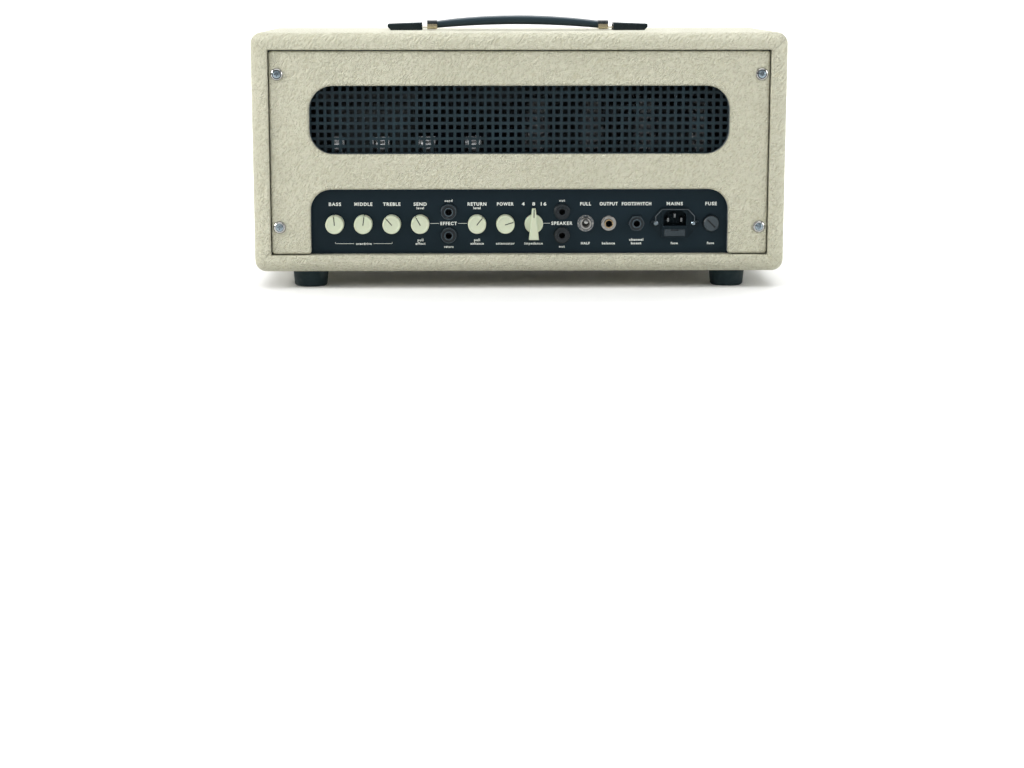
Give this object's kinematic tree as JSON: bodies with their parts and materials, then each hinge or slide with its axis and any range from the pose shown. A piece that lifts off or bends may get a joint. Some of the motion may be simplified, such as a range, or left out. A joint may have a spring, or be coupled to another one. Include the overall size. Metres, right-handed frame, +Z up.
{
  "type": "guitar amplifier head",
  "caption": "Covered guitar amplifier head with arched strap handle, vented rear panel, recessed rear controls, mains inlet, valves inside and rubber feet.",
  "frame": {"origin": "centre of the footprint, on the surface the feet stand on", "axes": "+X along the width, to the right seen from the rear; +Y to the front; +Z up"},
  "size_m": [0.56, 0.24, 0.284],
  "materials": {
    "covering": "cream grained vinyl covering stretched over plywood, satin",
    "bare_wood": "unfinished birch plywood and battens",
    "black_steel": "black powder coat, satin",
    "plated_steel": "bright zinc plate",
    "chrome": "polished chrome plate",
    "grille_cloth": "coarse woven speaker cloth",
    "rubber": "matt moulded rubber",
    "handle_plastic": "grained moulded vinyl, satin",
    "strap_steel": "nickel plate, slightly yellowed",
    "chassis_steel": "zinc-plated sheet",
    "faceplate_black": "black anodised with printed legends",
    "transformer_black": "black lacquered laminations and bells",
    "capacitor_sleeve": "heat-shrunk sleeve over an aluminium can",
    "socket_ceramic": "glazed ceramic",
    "black_plastic": "moulded thermoplastic",
    "valve_glass": "clear blown glass",
    "anode_metal": "carbonised nickel plate",
    "shield_aluminium": "bright drawn aluminium",
    "board_laminate": "glass-fibre laminate with turrets",
    "component_coating": "dipped and moulded component bodies",
    "knob_ivory": "ivory moulded plastic, satin",
    "fuse_glass": "clear tube with plated end caps",
    "lamp_lens": "faceted translucent red lens"
  },
  "bodies": {
    "root": {"cabinet_top_board": "covering", "cabinet_bottom_board": "covering", "cabinet_sides": "covering", "panel_cleats": "bare_wood", "rear_panel": "covering", "rear_vent_grille": "black_steel", "rear_panel_screws": "plated_steel", "rear_panel_cup_washers": "chrome", "front_frame": "covering", "front_baffle": "bare_wood", "front_grille_cloth": "grille_cloth", "rubber_feet": "rubber", "cabinet_wood_screws": "plated_steel", "handle_end_caps": "handle_plastic", "chassis": "chassis_steel", "chassis_bottom_cover": "chassis_steel", "chassis_screws": "plated_steel", "faceplates": "faceplate_black", "power_transformer": "transformer_black", "output_transformer": "transformer_black", "choke": "transformer_black", "filter_capacitors": "capacitor_sleeve", "tube_sockets": "socket_ceramic", "power_tube_bases": "black_plastic", "power_tube_glass": "valve_glass", "power_tube_anodes": "anode_metal", "preamp_tube_shields": "shield_aluminium", "preamp_tubes": "valve_glass", "turret_board": "board_laminate", "board_components": "component_coating", "potentiometers": "plated_steel", "jack_sockets": "black_plastic", "chrome_nuts": "chrome", "panel_switches": "chrome", "iec_inlet": "black_plastic", "iec_pins": "plated_steel", "hv_fuse_holder": "black_plastic", "pilot_lamp": "lamp_lens"},
    "bass_knob": {"bass_knob": "knob_ivory"},
    "middle_knob": {"middle_knob": "knob_ivory"},
    "treble_knob": {"treble_knob": "knob_ivory"},
    "send_plunger": {"send_plunger": "plated_steel"},
    "send_knob": {"send_knob": "knob_ivory"},
    "return_plunger": {"return_plunger": "plated_steel"},
    "return_knob": {"return_knob": "knob_ivory"},
    "attenuator_knob": {"attenuator_knob": "knob_ivory"},
    "impedance_knob": {"impedance_knob": "knob_ivory"},
    "gain_knob": {"gain_knob": "knob_ivory"},
    "volume_knob": {"volume_knob": "knob_ivory"},
    "mode_toggle_lever": {"mode_toggle_lever": "chrome"},
    "mains_toggle_lever": {"mains_toggle_lever": "chrome"},
    "standby_toggle_lever": {"standby_toggle_lever": "chrome"},
    "fuse_drawer": {"fuse_drawer": "black_plastic"},
    "cord_retaining_bail": {"cord_retaining_bail": "plated_steel"},
    "hv_fuse": {"hv_fuse": "fuse_glass"},
    "hv_fuse_cap": {"hv_fuse_cap": "black_plastic"},
    "handle_left": {"handle_strap_left": "strap_steel", "handle_grip_left": "handle_plastic"},
    "handle_right": {"handle_strap_right": "strap_steel", "handle_grip_right": "handle_plastic"}
  },
  "joints": [
    {"name": "bass_knob_turn", "type": "hinge", "parent": "root", "child": "bass_knob", "pos_m": [-0.195, -0.1045, 0.068], "axis": [0, -1, 0], "range_deg": [-155, 145]},
    {"name": "middle_knob_turn", "type": "hinge", "parent": "root", "child": "middle_knob", "pos_m": [-0.165, -0.1045, 0.068], "axis": [0, -1, 0], "range_deg": [-142, 158]},
    {"name": "treble_knob_turn", "type": "hinge", "parent": "root", "child": "treble_knob", "pos_m": [-0.135, -0.1045, 0.068], "axis": [0, -1, 0], "range_deg": [-192, 108]},
    {"name": "send_pull", "type": "slide", "parent": "root", "child": "send_plunger", "axis": [0, -1, 0], "range_m": [0, 0.005]},
    {"name": "send_knob_turn", "type": "hinge", "parent": "send_plunger", "child": "send_knob", "pos_m": [-0.105, -0.1045, 0.068], "axis": [0, -1, 0], "range_deg": [-179, 121]},
    {"name": "return_pull", "type": "slide", "parent": "root", "child": "return_plunger", "axis": [0, -1, 0], "range_m": [0, 0.005]},
    {"name": "return_knob_turn", "type": "hinge", "parent": "return_plunger", "child": "return_knob", "pos_m": [-0.045, -0.1045, 0.068], "axis": [0, -1, 0], "range_deg": [-111, 189]},
    {"name": "attenuator_knob_turn", "type": "hinge", "parent": "root", "child": "attenuator_knob", "pos_m": [-0.015, -0.1045, 0.068], "axis": [0, -1, 0], "range_deg": [-77, 223]},
    {"name": "impedance_knob_turn", "type": "hinge", "parent": "root", "child": "impedance_knob", "pos_m": [0.015, -0.1045, 0.068], "axis": [0, -1, 0], "range_deg": [-30, 30]},
    {"name": "gain_knob_turn", "type": "hinge", "parent": "root", "child": "gain_knob", "pos_m": [0.13, 0.1045, 0.068], "axis": [0, 1, 0], "range_deg": [-130, 170]},
    {"name": "volume_knob_turn", "type": "hinge", "parent": "root", "child": "volume_knob", "pos_m": [0.07, 0.1045, 0.068], "axis": [0, 1, 0], "range_deg": [-180, 120]},
    {"name": "mode_toggle_throw", "type": "hinge", "parent": "root", "child": "mode_toggle_lever", "pos_m": [0.07, -0.1035, 0.068], "axis": [1, 0, 0], "range_deg": [0, 24]},
    {"name": "mains_toggle_throw", "type": "hinge", "parent": "root", "child": "mains_toggle_lever", "pos_m": [-0.195, 0.1035, 0.068], "axis": [-1, 0, 0], "range_deg": [0, 24]},
    {"name": "standby_toggle_throw", "type": "hinge", "parent": "root", "child": "standby_toggle_lever", "pos_m": [-0.16, 0.1035, 0.068], "axis": [-1, 0, 0], "range_deg": [0, 24]},
    {"name": "fuse_drawer_slide", "type": "slide", "parent": "root", "child": "fuse_drawer", "axis": [0, -1, 0], "range_m": [0, 0.018]},
    {"name": "bail_swing", "type": "hinge", "parent": "root", "child": "cord_retaining_bail", "pos_m": [0.1645, -0.1107, 0.07], "axis": [1, 0, 0], "range_deg": [0, 100]},
    {"name": "hv_fuse_withdraw", "type": "slide", "parent": "root", "child": "hv_fuse", "axis": [0, -1, 0], "range_m": [0, 0.03]},
    {"name": "hv_fuse_cap_turn", "type": "hinge", "parent": "hv_fuse", "child": "hv_fuse_cap", "pos_m": [0.203, -0.1045, 0.068], "axis": [0, -1, 0], "range_deg": [0, 45]},
    {"name": "handle_lift", "type": "hinge", "parent": "root", "child": "handle_left", "pos_m": [-0.112, 0, 0.2712], "axis": [0, -1, 0], "range_deg": [0, 8]},
    {"name": "handle_flex", "type": "hinge", "parent": "handle_left", "child": "handle_right", "pos_m": [0, 0, 0.2739], "axis": [0, -1, 0], "range_deg": [-16, 0]}
  ],
  "couplings": [
    {"joint": "handle_flex", "follows": "handle_lift", "ratio": -2}
  ]
}
